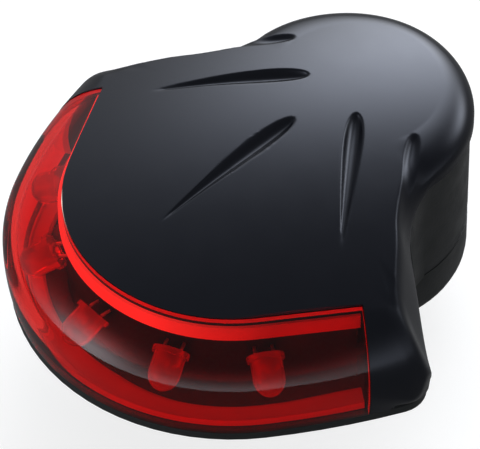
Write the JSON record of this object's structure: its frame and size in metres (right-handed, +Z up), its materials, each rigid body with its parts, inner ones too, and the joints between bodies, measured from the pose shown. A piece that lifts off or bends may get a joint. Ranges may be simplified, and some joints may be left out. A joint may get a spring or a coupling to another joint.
{
  "type": "bike rear light",
  "caption": "Compact bike rear light with a wrap-round red lens, a domed gloss black cap with a round rear boss, and a belt clip on its battery cover.",
  "frame": {"origin": "middle of the plan, on the underside of the clip's tongue", "axes": "+Z up through the cap, +Y from the lens to the round boss, +X to the right seen from the boss looking at the lens"},
  "size_m": [0.0742, 0.072, 0.0397],
  "materials": {
    "cap_black": "high gloss moulded black",
    "lens_red": "clear red moulded lens",
    "body_black": "satin moulded black",
    "reflector_pale": "pale reflector plastic",
    "frame_black": "matt black",
    "diode_clear": "clear epoxy",
    "tinned_steel": "tinned",
    "board_green": "coated board",
    "part_tan": "moulded part",
    "screw_steel": "plated steel",
    "cell_grey": "plain sleeve",
    "seal_black": "soft rubber",
    "button_rubber": "soft rubber",
    "clip_black": "satin moulded black",
    "rivet_alloy": "plain"
  },
  "bodies": {
    "light": {"top_cap": "cap_black", "lens": "lens_red", "base_housing": "body_black", "reflector_ring": "reflector_pale", "led_frame": "frame_black", "led_1": "diode_clear", "led_2": "diode_clear", "led_3": "diode_clear", "led_4": "diode_clear", "led_5": "diode_clear", "led_legs": "tinned_steel", "circuit_board": "board_green", "driver_chip": "frame_black", "board_parts": "part_tan", "push_switch": "frame_black", "board_screws": "screw_steel", "cell_left": "cell_grey", "cell_right": "cell_grey", "spring_front": "tinned_steel", "spring_rear": "tinned_steel", "contact_bridge": "tinned_steel", "contact_left": "tinned_steel", "contact_right": "tinned_steel", "case_screws": "screw_steel"},
    "cover": {"battery_cover": "body_black", "cover_gasket": "seal_black", "screw_seal": "seal_black", "mount_clip": "clip_black", "clip_rivets": "rivet_alloy"},
    "screw": {"cover_screw": "screw_steel"},
    "button": {"push_button": "button_rubber"}
  },
  "joints": [
    {"name": "button_press", "type": "slide", "parent": "light", "child": "button", "axis": [0, -1, 0], "range_m": [0, 0.0009], "stiffness_N_per_m": 1500, "springref_m": -0.0006},
    {"name": "cover_lift", "type": "slide", "parent": "light", "child": "cover", "axis": [0, 0, -1], "range_m": [0, 0.014]},
    {"name": "screw_turn", "type": "hinge", "parent": "cover", "child": "screw", "pos_m": [0, 0.02985, 0.0068], "axis": [0, 0, 1], "continuous": true}
  ]
}
